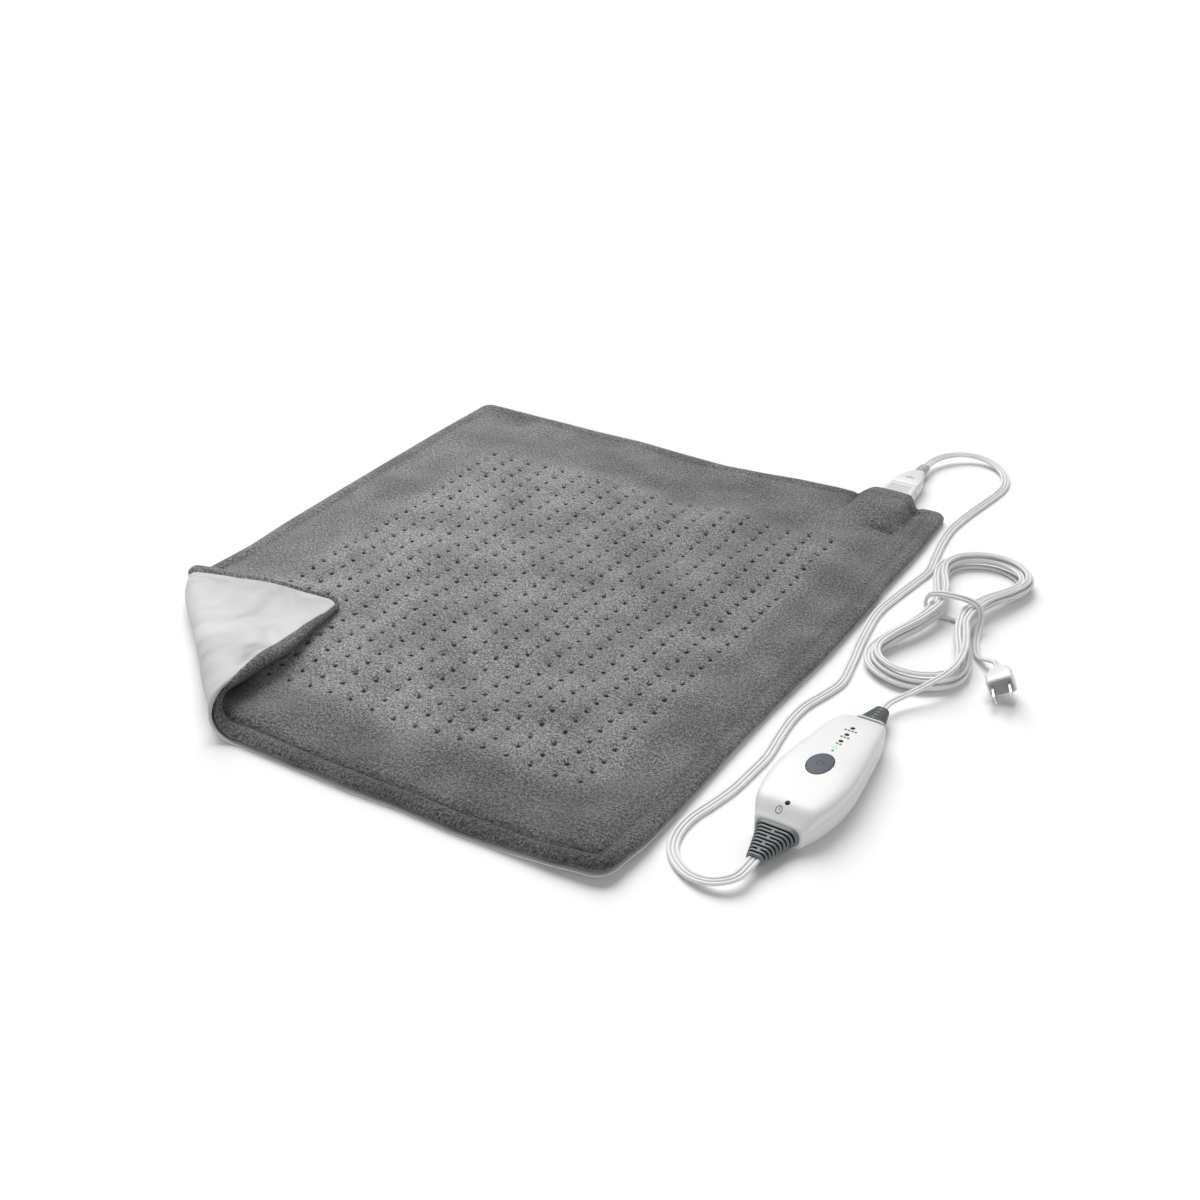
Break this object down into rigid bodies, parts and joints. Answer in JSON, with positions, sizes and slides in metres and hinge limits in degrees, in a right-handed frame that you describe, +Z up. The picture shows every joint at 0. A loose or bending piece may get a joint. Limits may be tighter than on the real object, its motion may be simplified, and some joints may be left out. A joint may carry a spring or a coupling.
{
  "type": "electric heating pad with a plug-in hand controller",
  "caption": "Grey plush heating pad with one corner turned over, a plug-in lead, a white hand controller and a mains cord tied in a hank.",
  "frame": {"origin": "centre of the pad's flat underside, on the surface it lies on", "axes": "+Z up; +Y towards the edge with the socket; +X towards the side with the controller"},
  "size_m": [0.6629, 0.7556, 0.0276],
  "materials": {
    "plush": "short grey plush pile with stitched dimples",
    "underside": "white woven underside",
    "felt": "pressed felt",
    "wire_cover": "silicone-covered heating wire",
    "white_plastic": "glossy white moulding",
    "cord": "smooth white cord jacket",
    "grey_rubber": "matte slate-grey moulding",
    "pale_rubber": "matte grey net-pattern moulding",
    "slate_plastic": "satin slate cap",
    "brass": "plain brass contact",
    "nickel": "nickel-plated metal",
    "board": "green laminate",
    "black_plastic": "black component moulding",
    "capacitor_case": "yellow component case",
    "fuse_glass": "glass fuse tube",
    "red_lamp": "dark red lens, unlit",
    "amber_lamp": "dark amber lens, unlit",
    "green_lamp": "green lens, lit"
  },
  "bodies": {
    "root": {"pad_plush_cover": "plush", "pad_underside_cover": "underside", "socket_sleeve": "plush", "heater_felt": "felt", "heating_wire": "wire_cover", "thermal_cutout_1": "black_plastic", "thermal_cutout_2": "black_plastic", "socket_upper_shell": "white_plastic", "socket_lower_shell": "white_plastic", "socket_pin_1": "brass", "socket_pin_2": "brass", "socket_pin_3": "brass", "controller_upper_shell": "white_plastic", "controller_lower_shell": "white_plastic", "pad_lead_strain_relief": "grey_rubber", "mains_strain_relief": "grey_rubber", "circuit_board": "board", "housing_screw_1": "nickel", "housing_screw_2": "nickel", "housing_screw_3": "nickel", "housing_screw_4": "nickel", "switch_body": "black_plastic", "heat_lamp_1": "green_lamp", "heat_lamp_2": "amber_lamp", "heat_lamp_3": "red_lamp", "heat_lamp_4": "red_lamp", "timer_lamp": "red_lamp", "film_capacitor": "capacitor_case", "power_triac": "black_plastic", "fuse": "fuse_glass", "control_chip": "black_plastic", "pad_lead_cord": "cord", "mains_cord_lead": "cord", "mains_cord_hank": "cord", "mains_cord_tail": "cord", "mains_plug_body": "white_plastic", "mains_blade_left": "nickel", "mains_blade_right": "nickel"},
    "power_switch": {"power_button": "slate_plastic", "switch_plunger": "black_plastic"},
    "pad_connector": {"connector_upper_shell": "white_plastic", "connector_lower_shell": "white_plastic", "connector_strain_relief": "pale_rubber"},
    "release_left": {"release_button_left": "white_plastic"},
    "release_right": {"release_button_right": "white_plastic"}
  },
  "joints": [
    {"name": "power_press", "type": "slide", "parent": "root", "child": "power_switch", "axis": [0, 0, -1], "range_m": [0, 0.0007], "stiffness_N_per_m": 300},
    {"name": "connector_unplug", "type": "slide", "parent": "root", "child": "pad_connector", "axis": [0, 1, 0], "range_m": [0, 0.022], "deforming": ["pad_lead_cord"]},
    {"name": "release_left_press", "type": "slide", "parent": "root", "child": "release_left", "axis": [1, 0, 0], "range_m": [0, 0.0012], "stiffness_N_per_m": 400},
    {"name": "release_right_press", "type": "slide", "parent": "root", "child": "release_right", "axis": [-1, 0, 0], "range_m": [0, 0.0012], "stiffness_N_per_m": 400}
  ]
}
